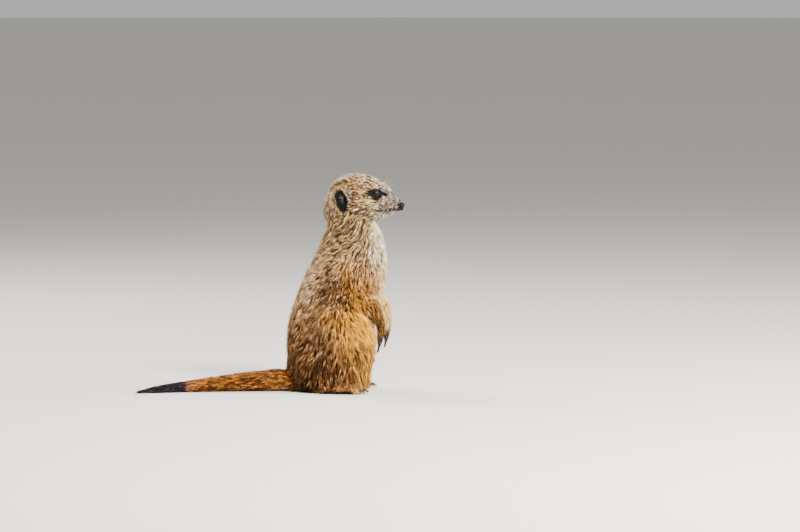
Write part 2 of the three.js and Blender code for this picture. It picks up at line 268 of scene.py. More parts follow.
def smoothed(values, links, rounds, share=0.5):
    """Moves each value towards the mean of its neighbours, `rounds` times."""
    pairs, count = links
    for _ in range(rounds):
        mean = summed_at(pairs[:, 0], values[pairs[:, 1]], len(values)) / count
        values = values + share * (mean - values)
    return values


def shaped(piece):
    """A piece's points in mm and its triangles once its modifiers have acted; the piece is removed."""
    surface = piece.evaluated_get(bpy.context.evaluated_depsgraph_get()).to_mesh()
    surface.calc_loop_triangles()
    points = np.empty(len(surface.vertices) * 3, np.float32)
    surface.vertices.foreach_get("co", points)
    triangles = np.empty(len(surface.loop_triangles) * 3, np.int32)
    surface.loop_triangles.foreach_get("vertices", triangles)
    bpy.data.objects.remove(piece)
    return points.reshape(-1, 3).astype(float) / MM, triangles.reshape(-1, 3)


overlap = 0.32                        # closes the thin cuts between the solids
voxel = 1.05                          # faces of the joined surface before it is thinned, in mm
coarse_share = 0.46                   # share of the faces that trunk, limbs and tail keep
all_points, all_faces, all_kinds, start = [], [], [], 0
for node in flesh + ["eye_right", "eye_left"]:
    points, faces = corner_arrays(node)
    all_kinds.append(np.full(len(points), kinds.index(kind_of(node))))
    all_points.append(points + overlap * point_normals(points, faces))
    all_faces.append(faces + start)
    start += len(points)
solid_points, solid_kinds = np.vstack(all_points), np.concatenate(all_kinds)
joined = mesh_object("joined_flesh", solid_points * MM, np.vstack(all_faces))
remesh = joined.modifiers.new("one_surface", "REMESH")
remesh.mode, remesh.voxel_size = "VOXEL", voxel * MM
points, faces = largest_shell(*shaped(joined))
points = smoothed(points, neighbours(points, faces), 10)
# Trunk, limbs and tail make do with larger faces; the head, hands and feet keep theirs.
fine = (((points[:, 2] > 187) & (points[:, 0] > 62)) | ((points[:, 0] > 110) & (points[:, 2] < 78))
        | ((points[:, 0] > 62) & (points[:, 2] < 12)))
even = mesh_object("even_flesh", points * MM, faces)
coarse = even.vertex_groups.new(name="coarse")
coarse.add(np.flatnonzero(~fine).tolist(), 1.0, "REPLACE")
thinned = even.modifiers.new("larger_faces", "DECIMATE")
thinned.ratio = coarse_share
thinned.vertex_group = "coarse"
thinned.vertex_group_factor = 100.0
points, faces = shaped(even)
middles = points[faces].mean(1)
on_face = (middles[:, 2] > 190) & (middles[:, 0] > 101)
on_ears = np.abs(middles[:, 1]) > 17
on_ears &= (np.abs(middles[:, 0] - 75) < 11) & (np.abs(middles[:, 2] - 215) < 17)
points, faces = refined(points, faces, on_face | on_ears)
links = neighbours(points, faces)
points = smoothed(points, links, 2)


block_size = 4096                     # how many points are compared with all others at a time


def nearest(points, corners):
    """For each point the index of the nearest corner: least |c|^2 - 2 p.c, a block at a time."""
    squares = (corners ** 2).sum(1).astype(np.float32)
    across = corners.T.astype(np.float32)
    blocks = [np.argmin(squares - 2 * (points[i:i + block_size].astype(np.float32) @ across), 1)
              for i in range(0, len(points), block_size)]
    return np.concatenate(blocks)


hide_kind = solid_kinds[nearest(points, solid_points)]
# The thigh runs into the back and flank without a crease; only its front stays marked off.
thigh = smoothed(np.isin(hide_kind, [kinds.index("haunch")])[:, None] * 1.0, links, 8)
crease = np.clip(smoothed(4 * thigh * (1 - thigh), links, 3) * 1.4, 0, 1)
behind_knee, under_knee = 1 - ramp(points[:, :1], 84, 100), 1 - ramp(points[:, 2:], 56, 66)
crease *= np.maximum(behind_knee, under_knee) * ramp(points[:, 2:], 14, 30)
for _ in range(30):
    points = points + crease * (smoothed(points, links, 1) - points)
share = smoothed(np.eye(len(kinds))[hide_kind], links, 5)      # how far each point is on each part
coat_values = smoothed(np.array([coat_of[k] for k in kinds])[hide_kind], links, 14)
depth, length, width = coat_values.T
x, y, z = points.T
on_skull = on_part(share, "head", "muzzle", "lower_jaw")
from_eye = np.linalg.norm(np.stack([x, np.abs(y), z], 1) - eye_place - (0.8, 3.2, 0), axis=1)
near_eye = 1 - ramp(from_eye, 4.0, 9.5)
from_cheek = (np.stack([x, np.abs(y), z], 1) - (92, 20, 202)) / (14, 12, 9)
cheek = np.exp(-(from_cheek ** 2).sum(1))
nape = ramp(-x, -80, -62)
# The head's coat thins towards the nose and round the eyes, and is longest on the cheek and nape.
depth = depth + on_skull * (2.9 - 2.1 * ramp(x, 66, 126) + 0.8 * cheek + 1.2 * nape - depth)
length = length + on_skull * (4.6 - 2.6 * ramp(x, 78, 130) + 2.0 * cheek + 3.4 * nape - length)
width = width + on_skull * (0.4 - 0.2 * ramp(x, 78, 124) - width)
depth = depth + near_eye * on_skull * (0.45 - depth)
length = length + near_eye * on_skull * (1.5 - length)
# The lowest hairs of the shank hang over the foot.
fringe = on_part(share, "shank") * ramp(-z, -30, -20)
length = length + fringe * (13.0 - length)
toes = on_part(share, "foot") * ramp(x, 80, 88)
length, depth = length + toes * (1.9 - length), depth + toes * (0.6 - depth)
ear_gap = np.hypot((x - 75) / 7.4, (z - 215.4) / 13.6) + 9.0 * (np.abs(y) < 15)
on_ears = 1 - ramp(ear_gap, 1.0, 1.5)
length, depth = length + on_ears * (1.9 - length), depth + on_ears * (0.6 - depth)
normals = point_normals(points, faces)
# Under the seat and the soles the hair is pressed flat against the floor.
pressed = np.clip(-normals[:, 2] * 1.6 - 0.3, 0, 1) * np.clip(1 - (z - 1) / 5, 0, 1)
depth = depth * (1 - 0.75 * pressed)
hide = smoothed(points - normals * smoothed(depth[:, None], links, 3), links, 2)


mouth_corner, corner_height, mouth_length = 108, 202.9, 35


def mouth_height(x):
    """Height of the line between the lips: a shallow curve that climbs from its corner to the nose."""
    t = np.clip((x - mouth_corner) / mouth_length, 0, 1)
    return corner_height + 1.7 * t + 1.9 * t * t


def eye_frame(side):
    """An eye's centre and its three axes: out of the eye, towards the nose, and up."""
    centre = eye_place * (1, side, 1)
    out = unit(np.array([0.24, side * 0.96, 0.08]))
    ahead = unit(np.array([1.0, 0, 0]) - out * out[0])
    upward = np.cross(out, ahead) * -side
    return centre, out, ahead, upward


# Each socket dips from the cheek and brow to just under its eyeball, with a low ridge over it.
socket_reach, socket_gap, brow_ridge = 11, 0.7, 0.55
for side in (-1, 1):
    centre, out, ahead, upward = eye_frame(side)
    local = hide - centre
    height = local @ out
    aside = np.linalg.norm(local - height[:, None] * out, axis=1)
    near = (np.linalg.norm(local, axis=1) < socket_reach) & (height > -1)
    ball = np.sqrt(eye_radius ** 2 - np.minimum(aside, 4.2) ** 2)
    under = ball - socket_gap + 1.0 * ramp(aside, 2.6, 3.8)
    blend = ramp(aside, 3.9, 7.8)
    hide += np.where(near, (1 - blend) * (under - height), 0)[:, None] * out
    brow = np.exp(-((aside - 6.2) / 1.6) ** 2) * ramp(local @ upward, 1.0, 4.5)
    hide += np.where(near, brow_ridge * brow, 0)[:, None] * out
# The upper lip stands forward under the nose.
lip_height, lip_swell = 206.0, 1.9
lip_gap = -((hide[:, 2] - lip_height) / 2.4) ** 2 - (hide[:, 1] / 4.6) ** 2
hide[:, 0] += lip_swell * (ramp(hide[:, 0], 132, 141) * np.exp(lip_gap))
# Each ear is a fold that rises round its back edge, with a small inner ridge and a hollow in front.
ear_place, ear_tilt = np.array([75.8, 24.0, 215.2]), 0.3
ear_half_width, ear_half_height = 6.8, 13.2


def on_ear(p):
    """Place on the ear seen from its side: distance from its middle (1 at its rim) and angle from ahead."""
    dx, dz = p[:, 0] - ear_place[0], p[:, 2] - ear_place[2]
    ahead = (dx * math.cos(ear_tilt) + dz * math.sin(ear_tilt)) / ear_half_width
    height = (dz * math.cos(ear_tilt) - dx * math.sin(ear_tilt)) / ear_half_height
    return np.where(np.abs(p[:, 1]) > 15, np.hypot(ahead, height), 9.0), np.arctan2(height, ahead)


outer_fold, inner_ridge, ear_hollow, front_hollow = 2.3, 0.9, 2.0, 1.2
middle_gap, turn = on_ear(hide)
behind = ramp(np.abs(turn), 0.6, 1.3)
fold = outer_fold * behind * np.exp(-((middle_gap - 0.86) / 0.17) ** 2)
fold += inner_ridge * ramp(np.abs(turn), 1.2, 1.9) * np.exp(-((middle_gap - 0.46) / 0.14) ** 2)
hollow = ear_hollow * np.exp(-(middle_gap / 0.55) ** 2)
hollow = hollow + front_hollow * (1 - behind) * np.exp(-((middle_gap - 0.5) / 0.25) ** 2)
hide[:, 1] += np.sign(hide[:, 1]) * (fold - hollow)
hide = np.where((middle_gap < 1.4)[:, None], smoothed(hide, links, 1), hide)
# The lips meet in a narrow groove and swell a little on both sides of it.
upper_swell, lower_swell, groove_depth, groove_width = 0.3, 0.25, 0.75, 0.62
from_lips = hide[:, 2] - mouth_height(hide[:, 0])
mouthed = ramp(hide[:, 0], 106, 114) * on_skull
swell = upper_swell * np.exp(-((from_lips - 1.7) / 1.2) ** 2)
swell = swell + lower_swell * np.exp(-((from_lips + 1.5) / 1.0) ** 2)
groove = groove_depth * np.exp(-(from_lips / groove_width) ** 2)
hide += point_normals(hide, faces) * (mouthed * (swell - groove))[:, None]
hide_normals = point_normals(hide, faces)

# Where the back and the front of the trunk lie at each height, read from the hide itself.
rungs, rung_height = 35, 6
trunk_kinds = [kinds.index(k) for k in ("neck", "chest", "belly", "rump")]
on_trunk = np.isin(hide_kind, trunk_kinds)
rung = np.clip(hide[:, 2] / rung_height, 0, rungs - 1).astype(int)
back_line, front_line = np.full(rungs, np.inf), np.full(rungs, -np.inf)
np.minimum.at(back_line, rung[on_trunk], hide[on_trunk, 0])
np.maximum.at(front_line, rung[on_trunk], hide[on_trunk, 0])
heights = np.arange(rungs) * rung_height + rung_height / 2
known = np.isfinite(back_line)


def forwardness(p):
    """0 on the line of the back, 1 on the line of the chest and belly, at the point's own height."""
    back = np.interp(p[:, 2], heights[known], back_line[known])
    front = np.interp(p[:, 2], heights[known], front_line[known])
    return (p[:, 0] - back) / (front - back)


def patch(p, centre, half, tilt=0.0, soft=0.25):
    """A soft ellipse in the side view, on both sides: 1 inside, 0 outside, fading over `soft`."""
    cos, sin = math.cos(tilt), math.sin(tilt)
    dx, dz = p[:, 0] - centre[0], p[:, 2] - centre[1]
    along, over = (dx * cos + dz * sin) / half[0], (dz * cos - dx * sin) / half[1]
    return 1 - ramp(np.hypot(along, over), 1 - soft, 1 + soft)


def hair(hex_colour):
    """A hair's colour: the display colour with its distance from grey stretched by a sixth."""
    colour = linear(hex_colour)
    grey = colour @ (0.21, 0.72, 0.07)
    return np.clip(grey + 1.16 * (colour - grey), 0.004, 1)


def inner_arm(p):
    """1 on the inner side of the arms, 0 on their outer side."""
    return ramp(16 + 9 * ramp(p[:, 2], 72, 98) - np.abs(p[:, 1]), -2, 4)


def markings_and_painted_light(p, share):
    """The coat's colour at each point, in linear light: its own marks, with painted shade and a painted rim
    light among them.

    Broad colours are laid part by part, and each mark is a soft ellipse or ramp over them:
    colour + (mark - colour) * mask.
    """
    part = dict(zip(kinds, share.T))
    x, y, z = p.T
    wide = np.abs(y)
    front = forwardness(p)
    colour = np.tile(hair(0x8A603C), (len(p), 1))

    def lay(mark, mask):
        """Mixes a mark's colour over what is there, by its mask of 0 to 1."""
        nonlocal colour
        colour = colour + (hair(mark) - colour) * mask[:, None]

    # trunk: dark brown low on the back, tan above, gold at the elbow, cream in front
    lay(0x5E3E26, ramp(-z, -56, -24) * (1 - ramp(front, 0.5, 0.8)))
    lay(0xC69668, ramp(z, 66, 98))
    lay(0xE8BE92, ramp(z, 90, 112) * (1 - ramp(front, 0.4, 0.8)))
    lay(0xB47A34, ramp(front, 0.42, 0.72) * ramp(z, 70, 92) * (1 - ramp(z, 118, 134)))
    lay(0xB6986E, part["neck"])
    lay(0xA58A6A, 0.7 * ramp(z, 126, 148) * ramp(front, 0.4, 0.6) * (1 - part["neck"]))
    lay(0xF6D2A0, ramp(front, 0.84, 0.95) * (1 - ramp(z, 160, 175)))
    lay(0xFFF0CE, ramp(front, 0.72, 0.9) * ramp(z, 138, 158) * (1 - part["head"]))
    lay(0x7C4C2C, 0.72 * patch(p, (70, 118), (20, 15), 0.3, 0.5) * ramp(wide, 12, 20))
    # thighs and legs
    lay(0x8C6844, part["haunch"])
    lay(0x5E3C1E, 0.55 * patch(p, (60, 40), (22, 14), 0.1, 0.7) * ramp(wide, 20, 30))
    lay(0xE29C4A, part["haunch"] * ramp(x + 0.35 * (z - 60), 50, 104))
    lay(0xFFC052, part["haunch"] * ramp(x + 0.2 * (z - 60), 74, 102) * ramp(z, 26, 56))
    lay(0x9C6C3C, part["shank"])
    lay(0xF2B45E, part["shank"] * ramp(x, 88, 110))
    lay(0xA87440, part["foot"])
    lay(0xCCA268, part["foot"] * ramp(x - 4.5 * np.sign(y), 86, 95))
    # a dark strip along the floor under the rump, thighs and feet: painted contact shadow, together with
    # the dark soles of the feet
    under = part["foot"] + part["shank"] + part["haunch"] + part["rump"]
    lay(0x2E1F18, ramp(-z, -6.5, -3.0) * ramp(x, 44, 58) * (1 - ramp(x, 84, 92)) * under)
    # painted shade in the creases over the elbow and along the top of the thigh
    outer = ramp(wide, 14, 22)
    lay(0x3A2214, 0.85 * patch(p, (71, 108), (12, 2.8), -0.16, 0.6) * outer * (1 - part["forearm"]))
    lay(0x3A2214, 0.7 * patch(p, (72, 97), (8, 2.2), -0.1, 0.6) * outer)
    # arms: brown above, orange below the elbow, grey at the wrist, cream on the inner side
    lay(0xB88242, part["upper_arm"])
    lay(0x8C5E27, part["forearm"])
    lay(0x6E4E2A, part["forearm"] * ramp(-z, -98, -80))
    lay(0xFFD68C, (part["forearm"] + part["upper_arm"] * 0.6) * inner_arm(p))
    lay(0x4A3A30, part["hand"])
    # head: tan crown, pale forehead and cheeks, grey muzzle
    head = part["head"] + part["muzzle"] + part["lower_jaw"]
    lay(0xC49E74, head)
    lay(0xE4C49E, head * ramp(-x, -76, -64))
    lay(0xE8D0A6, head * ramp(x, 96, 118) * ramp(z, 220, 231))
    # a paler band along the top edge of the head: painted rim light
    lay(0xEBD6B6, head * ramp(z + 0.25 * np.abs(x - 92), 239, 245))
    lay(0xB59C7C, head * ramp(-z, -212, -202) * ramp(x, 76, 96))
    lay(0xA27848, head * ramp(-z, -203, -194) * (1 - ramp(x, 96, 106)))
    lay(0xE2CAA4, head * patch(p, (108.5, 212), (9, 4.5), -0.3, 0.4))
    lay(0xA89B8A, head * patch(p, (86, 219), (4.5, 10), 0.15, 0.5))
    lay(0x8E8074, head * ramp(x, 114, 122))
    lay(0xE6D8C2, head * ramp(x, 112, 122) * ramp(z - 210 + (x - 142) * 0.62, 5.5, 9.5))
    lay(0xEAE0CE, head * patch(p, (115, 208.5), (7, 1.7), -0.8, 0.4))
    lay(0xEEE4D2, part["lower_jaw"] * 0.8)
    lips = z - mouth_height(x)
    lay(0x76675A, head * np.exp(-((lips - 2.6) / 2.8) ** 2) * ramp(x, 112, 122))
    lay(0x1C1412, head * np.exp(-(lips / (1.9 - 0.4 * ramp(x, 124, 140))) ** 2) * ramp(x, 112, 119))
    lay(0x4E443F, 0.75 * head * ramp(np.hypot(x - 144, (z - 205) * 1.1), 13.0, 5.0))
    below_bridge = 1 - ramp(z, 210.5, 212.0)
    lay(0x1E1819, head * below_bridge * ramp(np.hypot(x - 143.5, (z - 209.2) * 1.15), 5.0, 3.2))
    lay(0x151112, head * below_bridge * ramp(-np.linalg.norm(p - nose_place, axis=1), -5.6, -4.8))
    eyes = [patch(p, (112.6, 223.7), (8.7, 5.1), 0.02, 0.2),
            patch(p, (121.2, 222.6), (6.4, 2.0), -0.28, 0.35),
            patch(p, (117.4, 218.3), (5.4, 2.0), 0.72, 0.35),
            patch(p, (114.8, 218.9), (4.6, 3.6), 0.3, 0.3)]
    lay(0x120E10, head * np.max(eyes, 0) * ramp(wide, 5, 8))
    middle_gap = on_ear(p)[0]
    lay(0x0D0A0B, 1 - ramp(middle_gap + 0.07 * np.sin(2.3 * x + 1.7 * z), 0.92, 1.14))
    lay(0x463F3E, 0.8 * patch(p, (75.6, 217), (2.2, 5), 0.3, 0.5))
    # tail: rufous, with painted shade along its underside, greyer brown low at the root and a black tip
    tail = part["tail_base"] + part["tail_middle"] + part["tail_tip"]
    lay(0xA2622A, tail)
    lay(0x4A2814, 0.8 * tail * ramp(-z / (23 + 0.11 * x), -0.5, -0.15))
    lay(0x9A7048, tail * ramp(x, -6, 20) * ramp(z, 10, 2))
    lay(0x2E292C, tail * ramp(-x, 86, 101))
    # the grizzle gathers in wavy blotches over the body
    blotch = np.sin(x / 3.4 + 1.9 * np.sin(z / 5.1 + y / 7)) * np.sin(z / 2.6 + 1.5 * np.sin(y / 6 + x / 8))
    body = (part["chest"] + part["belly"] + part["rump"] + part["haunch"] + part["neck"] * 0.6
            + part["upper_arm"])
    return colour * (1 + 0.24 * blotch * body)[:, None]


def dark_share(p, share):
    """What share of the locks at each point have dark tips: most on neck, back and cheeks."""
    part = dict(zip(kinds, share.T))
    x, y, z = p.T
    front = forwardness(p)
    back = 1 - ramp(front, 0.55, 0.85)
    bands = 0.5 + 0.5 * np.sin(z / 2.0 + 1.6 * np.sin(y / 6) + 1.6 * np.sin(x / 5.5))
    trunk = part["chest"] + part["belly"] + part["rump"]
    cheek = patch(p, (96, 202), (15, 9), 0.1, 0.5)
    head = part["head"] * (1 - 0.2 * ramp(x, 100, 116) + 0.5 * cheek)
    shoulder = patch(p, (70, 118), (21, 18), 0.3, 0.6)
    return (trunk * (0.06 + 0.3 * shoulder + back * (0.24 + 0.44 * bands * (1 - 0.6 * ramp(z, 120, 150))))
            + part["neck"] * (0.02 + 0.44 * (1 - ramp(front, 0.6, 0.8)))
            + head * 0.34
            + part["foot"] * 0.5 * (1 - ramp(x, 80, 90))
            + part["haunch"] * (0.42 - 0.38 * ramp(x + 0.3 * (z - 60), 56, 98))
            + part["upper_arm"] * 0.36
            + part["forearm"] * 0.34 * (1 - inner_arm(p))
            + part["muzzle"] * 0.24
            + (part["tail_base"] + part["tail_middle"]) * 0.34)


def ridden(piece, material, slot, *nodes):
    """Gives a finished piece its material and body, and hides the nodes it stands for; the slot is not
    used.
    """
    piece.data.materials.append(material)
    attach(piece, "root")
    if nodes:
        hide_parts(*nodes)


def paint(piece, name, colours):
    """Puts linear colours on a piece's points as a named attribute."""
    layer = piece.data.color_attributes.new(name, "FLOAT_COLOR", "POINT")
    rgba = np.hstack([np.clip(colours, 0, 1), np.ones((len(colours), 1))])
    layer.data.foreach_set("color", rgba.astype(np.float32).ravel())


skin_shade_share = 0.42                  # the skin's colour as a share of the coat's over it, kept low as painted shade in the gaps between the locks
skin = mesh_object("skin", placed(hide), faces)
paint(skin, "coat_colour", markings_and_painted_light(hide, share) * skin_shade_share)


def coat_look(name, roughness, speckle):
    """Colour from the piece's own attribute, mottled by fine noise, on a soft slightly shiny hair."""
    material, tree, shader = new_material(name, 0xA08060, roughness, 0.12)
    colour = tree.nodes.new("ShaderNodeAttribute")
    colour.attribute_name = "coat_colour"
    mottle = tree.nodes.new("ShaderNodeVectorMath")
    mottle.operation = "SCALE"
    tree.links.new(colour.outputs["Color"], mottle.inputs[0])
    tree.links.new(noise_between(tree, 900.0, 1 - speckle, 1 + speckle), mottle.inputs["Scale"])
    tree.links.new(mottle.outputs["Vector"], shader.inputs["Base Color"])
    return material


ridden(skin, coat_look("hide", 0.62, 0.2), "grizzled_coat", *flesh)

# ------------------------------------------------------------------ eyes
# Two glossy balls set deep in the sockets: a dark brown iris with a black pupil under a clear
# bulging cornea.
def tube(path, side_axis, wide, deep, around):
    """Ellipses carried along a path and closed by a pole at each end.

    Row i is path[i] + wide[i] cos(a) side + deep[i] sin(a) up, with side and up square to the path.
    The first and last places of the path are the poles. Returns points and outward triangles.
    """
    ahead = unit(np.gradient(path, axis=0))
    side = unit(side_axis - (ahead @ side_axis)[:, None] * ahead)
    upward = np.cross(ahead, side)
    turn = np.linspace(0, 2 * np.pi, around, endpoint=False)
    rings = (path[1:-1, None] + side[1:-1, None] * (wide[1:-1, None] * np.cos(turn))[..., None]
             + upward[1:-1, None] * (deep[1:-1, None] * np.sin(turn))[..., None])
    points = np.vstack([path[:1], rings.reshape(-1, 3), path[-1:]])
    rows, j = len(path) - 2, np.arange(around)
    k = (j + 1) % around
    first = (np.arange(rows - 1) * around + 1)[:, None]
    a, b, c, d = first + j, first + k, first + around + k, first + around + j
    last, end = 1 + (rows - 1) * around, len(points) - 1
    triangles = [np.stack([a, b, c], 2).reshape(-1, 3), np.stack([a, c, d], 2).reshape(-1, 3),
                 np.stack([0 * j, 1 + k, 1 + j], 1), np.stack([0 * j + end, last + j, last + k], 1)]
    return points, np.vstack(triangles)


def joined_tubes(tubes):
    """Several tubes as one list of points and one of triangles."""
    starts = np.cumsum([0] + [len(points) for points, _ in tubes[:-1]])
    return (np.vstack([points for points, _ in tubes]),
            np.vstack([triangles + start for (_, triangles), start in zip(tubes, starts)]))


def eye_surface(polar):
    """How far the ball's surface is from its centre at an angle from the front: r (1 + b (1 - p^2)^2)."""
    cornea_bulge, cornea_edge = 0.05, 0.75
    return eye_radius * (1 + cornea_bulge * (1 - np.clip(polar / cornea_edge, 0, 1) ** 2) ** 2)


eye_look, eye_tree, eye_shader = new_material("eye_glass", 0x140C09, 0.05, 0.14)
iris = eye_tree.nodes.new("ShaderNodeAttribute")
iris.attribute_name = "iris"
fibres = eye_tree.nodes.new("ShaderNodeVectorMath")
fibres.operation = "SCALE"
eye_tree.links.new(iris.outputs["Color"], fibres.inputs[0])
eye_tree.links.new(noise_between(eye_tree, 2200.0, 0.7, 1.3), fibres.inputs["Scale"])
eye_tree.links.new(fibres.outputs["Vector"], eye_shader.inputs["Base Color"])
for name, side in (("right", -1), ("left", 1)):
    centre, out, ahead, upward = eye_frame(side)
    polar = np.linspace(0, np.pi, 40)
    bulge = eye_surface(polar)
    path = centre + out * (bulge * np.cos(polar))[:, None]
    points, triangles = tube(path, ahead, bulge * np.sin(polar), bulge * np.sin(polar), 56)
    eyeball = mesh_object(f"eyeball_{name}", placed(points), triangles)
    local = unit(points - centre)
    off_axis = np.degrees(np.arccos(np.clip(np.hypot(local @ out, 0.0), 0, 1)))
    pupil = np.hypot(local @ ahead / 0.36, local @ upward / 0.26)
    rim = ramp(off_axis, 34, 44)[:, None]
    iris_colour = linear(0x160E0A) * (1 - rim) + linear(0x060505) * rim
    iris_colour = np.where((pupil < 1)[:, None] & (local @ out > 0)[:, None], linear(0x020202), iris_colour)
    paint(eyeball, "iris", iris_colour)
    ridden(eyeball, eye_look, "eye", f"eye_{name}")

# ------------------------------------------------------------------ eyelids
# A ring of bare black skin hugs each eyeball and leaves an almond open, drawn out to a tear corner
# in front. Its outer edge tucks under the hide of the socket.
def corner_angle(turn):
    """Half angle of the opening round the eye: an ellipse, pulled out at its two corners."""
    ellipse = 1 / np.sqrt((np.cos(turn) / 0.80) ** 2 + (np.sin(turn) / 0.60) ** 2)
    return ellipse + 0.2 * np.maximum(np.cos(turn), 0) ** 10 + 0.1 * np.maximum(-np.cos(turn), 0) ** 10


def outward(points, triangles):
    """The triangles, all turned round if the volume that they enclose is below zero."""
    a, b, c = points[triangles[:, 0]], points[triangles[:, 1]], points[triangles[:, 2]]
    return triangles if (a * np.cross(b, c)).sum() > 0 else triangles[:, ::-1]


def raised(tree, shader, height, depth, strength, inward=False):
    """Relief on a surface from a height of 0 to 1, `depth` metres deep."""
    bump = tree.nodes.new("ShaderNodeBump")
    bump.invert = inward
    bump.inputs["Distance"].default_value = depth
    bump.inputs["Strength"].default_value = strength
    tree.links.new(height, bump.inputs["Height"])
    tree.links.new(bump.outputs["Normal"], shader.inputs["Normal"])


lid_look, lid_tree, lid_shader = new_material("lid_skin", 0x0B090A, 0.6, 0.2)
raised(lid_tree, lid_shader, noise_between(lid_tree, 1500.0, 0.0, 1.0), 0.0002, 0.6)
lid_tree.links.new(noise_between(lid_tree, 700.0, 0.52, 0.68), lid_shader.inputs["Roughness"])
# The lid in section, from its inner edge over the front to its outer edge and back underneath:
# how far out from the opening towards the outer edge, and how far above the ball in mm.
lid_section = np.array([[0.0, -0.12], [0.0, 0.1], [0.06, 0.26], [0.18, 0.36], [0.34, 0.32], [0.5, 0.2],
                        [0.75, -0.06], [1.0, -0.4], [0.8, -0.5], [0.4, -0.4]])
lid_edge = 1.22                       # angle from the front of the ball to the lids' outer edge
lid_stations = 96
for name, side in (("right", -1), ("left", 1)):
    centre, out, ahead, upward = eye_frame(side)
    turn = np.linspace(0, 2 * np.pi, lid_stations, endpoint=False)
    opening = corner_angle(turn)[:, None]
    polar = opening + (lid_edge - opening) * lid_section[:, 0]
    radius = eye_surface(polar) + lid_section[:, 1]
    around = ahead * np.cos(turn)[:, None] + upward * np.sin(turn)[:, None]
    points = centre + radius[..., None] * (out * np.cos(polar)[..., None]
                                           + around[:, None] * np.sin(polar)[..., None])
    i, j = np.arange(lid_stations)[:, None], np.arange(len(lid_section))[None]
    i2, j2 = (i + 1) % lid_stations, (j + 1) % len(lid_section)
    n = len(lid_section)
    a, b, c, d = i * n + j, i2 * n + j, i2 * n + j2, i * n + j2
    triangles = np.vstack([np.stack([a, b, c], 2).reshape(-1, 3), np.stack([a, c, d], 2).reshape(-1, 3)])
    points = points.reshape(-1, 3)
    lid = mesh_object(f"eyelids_{name}", placed(points), outward(points - centre, triangles))
    ridden(lid, lid_look, "black_coat")

# ------------------------------------------------------------------ nose
# A bare pad of black pebbled skin, set in the end of the muzzle and leaning back a little. It is a
# ball pressed in by two comma nostrils and by a groove down its middle.
nose_look, nose_tree, nose_shader = new_material("nose_skin", 0x0A0809, 0.26, 0.22)
pebbles = nose_tree.nodes.new("ShaderNodeTexVoronoi")
pebbles.inputs["Scale"].default_value = 2600.0
nose_where = nose_tree.nodes.new("ShaderNodeTexCoord")
nose_tree.links.new(nose_where.outputs["Object"], pebbles.inputs["Vector"])
raised(nose_tree, nose_shader, pebbles.outputs["Distance"], 0.00015, 0.5, inward=True)
nose_tree.links.new(noise_between(nose_tree, 900.0, 0.16, 0.3), nose_shader.inputs["Roughness"])
polar = np.linspace(0, np.pi, 48)
points, triangles = tube(np.stack([np.cos(polar), 0 * polar, 0 * polar], 1), np.array([0, 1.0, 0]),
                         np.sin(polar), np.sin(polar), 64)
from_front, sideways, upwards = points.T
radius = 1 - 0.10 * np.exp(-(sideways / 0.1) ** 2) * ramp(from_front, 0.1, 0.6) * ramp(-upwards, -0.55, 0.1)
for side in (-1, 1):
    nostril = unit(np.array([0.74, side * 0.6, 0.08]))
    gap = np.linalg.norm((points - nostril) / (1, 1, 0.8), axis=1)
    tail_gap = np.linalg.norm(points - unit(np.array([0.35, side * 0.92, -0.16])), axis=1)
    radius -= 0.34 * np.exp(-(gap / 0.2) ** 2) + 0.16 * np.exp(-(tail_gap / 0.24) ** 2)
    radius += 0.07 * np.exp(-((gap - 0.38) / 0.13) ** 2)
nose_half_sizes, nose_lean = (3.6, 3.9, 2.9), 0.15
points = points * radius[:, None] * nose_half_sizes
cos, sin = math.cos(nose_lean), math.sin(nose_lean)
points = np.stack([points[:, 0] * cos + points[:, 2] * sin, points[:, 1],
                   points[:, 2] * cos - points[:, 0] * sin], 1) + nose_place
nose = mesh_object("nose_pad", placed(points), triangles)
ridden(nose, nose_look, "nose_skin", "nose")

# ------------------------------------------------------------------ claws
# Four long hooked claws of dark horn on each hand and foot, set in the ends of the digits. Each is
# an oval tube that thins along a curve to a fine tip, and the four of a limb are one piece.
def clouded(tree, shader, first, second, scale):
    """A colour that wanders between two with noise of `scale` waves a metre."""
    mix = tree.nodes.new("ShaderNodeMix")
    mix.data_type = "RGBA"
    mix.inputs["A"].default_value = (*linear(first), 1)
    mix.inputs["B"].default_value = (*linear(second), 1)
    tree.links.new(noise_between(tree, scale, 0.0, 1.0), mix.inputs["Factor"])
    tree.links.new(mix.outputs["Result"], shader.inputs["Base Color"])


claw_look, claw_tree, claw_shader = new_material("claw_horn", 0x1E1816, 0.34, 0.3)
clouded(claw_tree, claw_shader, 0x120E0D, 0x362C26, 500.0)
claw_tree.links.new(noise_between(claw_tree, 1200.0, 0.22, 0.4), claw_shader.inputs["Roughness"])
arm_reach, arm_lift = 3.7, 1.5         # the left hand reaches further and higher, the right one less
foot_reach = 4.5                       # the left foot stands further forward, the right one less
finger_shares, finger_length, finger_gap = (0.82, 1, 0.96, 0.76), 6.6, 2.7
toe_reaches, toe_gap = (8.6, 11.4, 10.6, 7.0), 5.2
hand_place, foot_place = (121.2, 14.8, 57.4), (92.9, 37.5, 4.6)


def horn(root, out, hook, length, radius):
    """A claw: an oval that thins along root + length t out + t^2 hook to a fine tip."""
    t = np.concatenate([[-0.16], np.linspace(-0.14, 1, 14), [1.02]])[:, None]
    path = np.asarray(root) + length * t * np.asarray(out, float) + t * np.abs(t) * np.asarray(hook, float)
    thin = radius * np.sqrt(np.maximum(1.03 - np.clip(t[:, 0], 0, 1) ** 1.6, 0.01))
    return tube(path, np.array([0, 1.0, 0]), thin * 0.72, thin, 12)


